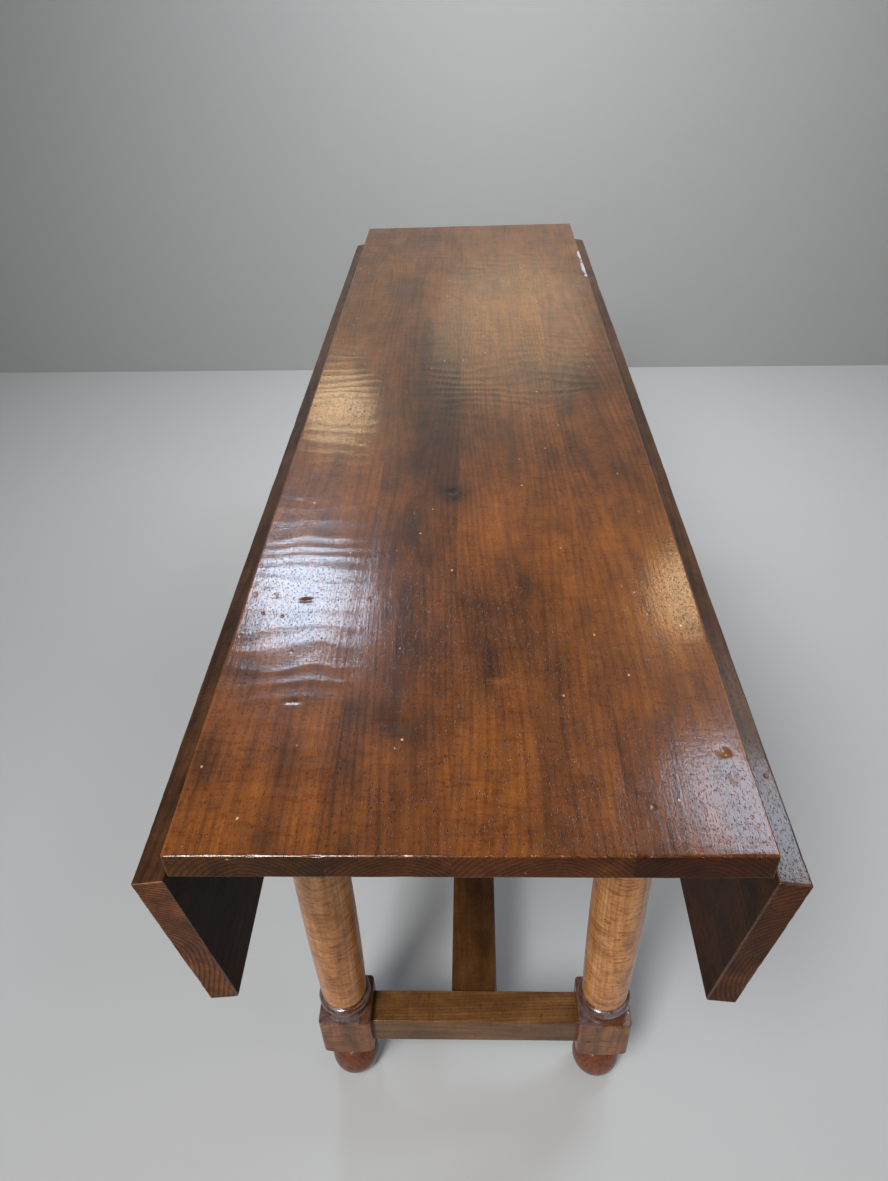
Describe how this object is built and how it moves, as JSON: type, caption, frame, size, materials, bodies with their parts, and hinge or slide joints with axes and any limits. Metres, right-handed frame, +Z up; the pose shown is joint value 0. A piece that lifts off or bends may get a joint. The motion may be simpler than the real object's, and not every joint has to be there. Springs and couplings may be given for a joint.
{
  "type": "communion table",
  "caption": "Long narrow wooden communion table on turned column legs, with an H-stretcher and drop leaves that lift level on slotted stays.",
  "frame": {"origin": "on the floor, under the middle of the table", "axes": "+Z up; Y along the table, with the front end at -Y; X across it, with the right leaf at +X"},
  "size_m": [0.4976, 1.612, 0.75],
  "materials": {
    "top_wood": "dark-stained hardwood, glossy varnish, hand-planed and worn",
    "leaf_wood": "dark-stained hardwood, glossy varnish",
    "leg_wood": "golden-brown figured hardwood, varnished",
    "foot_wood": "dark-stained hardwood, varnished",
    "rail_wood": "dark-stained hardwood, thin varnish",
    "stretcher_wood": "dark-stained hardwood, varnished, worn along the arrises",
    "peg_wood": "hardwood dowel, end grain",
    "button_wood": "plain hardwood, unstained",
    "hinge_iron": "dark wrought iron, dull",
    "stay_iron": "dark wrought iron, rubbed bright along the slot",
    "pin_steel": "dull steel",
    "screw_steel": "dull steel"
  },
  "bodies": {
    "frame": {"top_plank_1": "top_wood", "top_plank_2": "top_wood", "top_plank_3": "top_wood", "top_plank_4": "top_wood", "front_end_apron": "rail_wood", "front_cross_stretcher": "stretcher_wood", "back_end_apron": "rail_wood", "back_cross_stretcher": "stretcher_wood", "left_side_apron": "rail_wood", "right_side_apron": "rail_wood", "center_stretcher": "stretcher_wood", "front_left_leg": "leg_wood", "front_left_foot": "foot_wood", "front_right_leg": "leg_wood", "front_right_foot": "foot_wood", "back_left_leg": "leg_wood", "back_left_foot": "foot_wood", "back_right_leg": "leg_wood", "back_right_foot": "foot_wood", "apron_pegs": "peg_wood", "stretcher_pegs": "peg_wood", "top_buttons": "button_wood", "button_screws": "screw_steel", "frame_hardware_screws": "screw_steel", "left_front_hinge_top_plate": "hinge_iron", "left_middle_hinge_top_plate": "hinge_iron", "left_back_hinge_top_plate": "hinge_iron", "left_hinge_pins": "pin_steel", "left_front_stay_frame_bracket": "stay_iron", "left_back_stay_frame_bracket": "stay_iron", "right_front_hinge_top_plate": "hinge_iron", "right_middle_hinge_top_plate": "hinge_iron", "right_back_hinge_top_plate": "hinge_iron", "right_hinge_pins": "pin_steel", "right_front_stay_frame_bracket": "stay_iron", "right_back_stay_frame_bracket": "stay_iron"},
    "left_leaf": {"left_leaf_inner_plank": "leaf_wood", "left_leaf_outer_plank": "leaf_wood", "left_leaf_screws": "screw_steel", "left_front_hinge_leaf_plate": "hinge_iron", "left_middle_hinge_leaf_plate": "hinge_iron", "left_back_hinge_leaf_plate": "hinge_iron", "left_front_stay_leaf_bracket": "stay_iron", "left_back_stay_leaf_bracket": "stay_iron"},
    "right_leaf": {"right_leaf_inner_plank": "leaf_wood", "right_leaf_outer_plank": "leaf_wood", "right_leaf_screws": "screw_steel", "right_front_hinge_leaf_plate": "hinge_iron", "right_middle_hinge_leaf_plate": "hinge_iron", "right_back_hinge_leaf_plate": "hinge_iron", "right_front_stay_leaf_bracket": "stay_iron", "right_back_stay_leaf_bracket": "stay_iron"},
    "left_front_stay_bar": {"left_front_stay_bar": "stay_iron"},
    "left_back_stay_bar": {"left_back_stay_bar": "stay_iron"},
    "right_front_stay_bar": {"right_front_stay_bar": "stay_iron"},
    "right_back_stay_bar": {"right_back_stay_bar": "stay_iron"}
  },
  "joints": [
    {"name": "left_leaf_hinge", "type": "hinge", "parent": "frame", "child": "left_leaf", "pos_m": [-0.21975, 0, 0.7202], "axis": [0, 1, 0], "range_deg": [0, 99.2]},
    {"name": "left_front_stay_pivot", "type": "hinge", "parent": "left_leaf", "child": "left_front_stay_bar", "pos_m": [-0.19087, -0.33, 0.59318], "axis": [0, -1, 0], "range_deg": [0, 49.8]},
    {"name": "left_back_stay_pivot", "type": "hinge", "parent": "left_leaf", "child": "left_back_stay_bar", "pos_m": [-0.19087, 0.27, 0.59318], "axis": [0, -1, 0], "range_deg": [0, 49.8]},
    {"name": "right_leaf_hinge", "type": "hinge", "parent": "frame", "child": "right_leaf", "pos_m": [0.21975, 0, 0.7202], "axis": [0, -1, 0], "range_deg": [0, 99.2]},
    {"name": "right_front_stay_pivot", "type": "hinge", "parent": "right_leaf", "child": "right_front_stay_bar", "pos_m": [0.19087, -0.3, 0.59318], "axis": [0, 1, 0], "range_deg": [0, 49.8]},
    {"name": "right_back_stay_pivot", "type": "hinge", "parent": "right_leaf", "child": "right_back_stay_bar", "pos_m": [0.19087, 0.3, 0.59318], "axis": [0, 1, 0], "range_deg": [0, 49.8]}
  ],
  "couplings": [
    {"joint": "left_front_stay_pivot", "follows": "left_leaf_hinge", "ratio": 0.5},
    {"joint": "left_back_stay_pivot", "follows": "left_leaf_hinge", "ratio": 0.5},
    {"joint": "right_front_stay_pivot", "follows": "right_leaf_hinge", "ratio": 0.5},
    {"joint": "right_back_stay_pivot", "follows": "right_leaf_hinge", "ratio": 0.5}
  ]
}
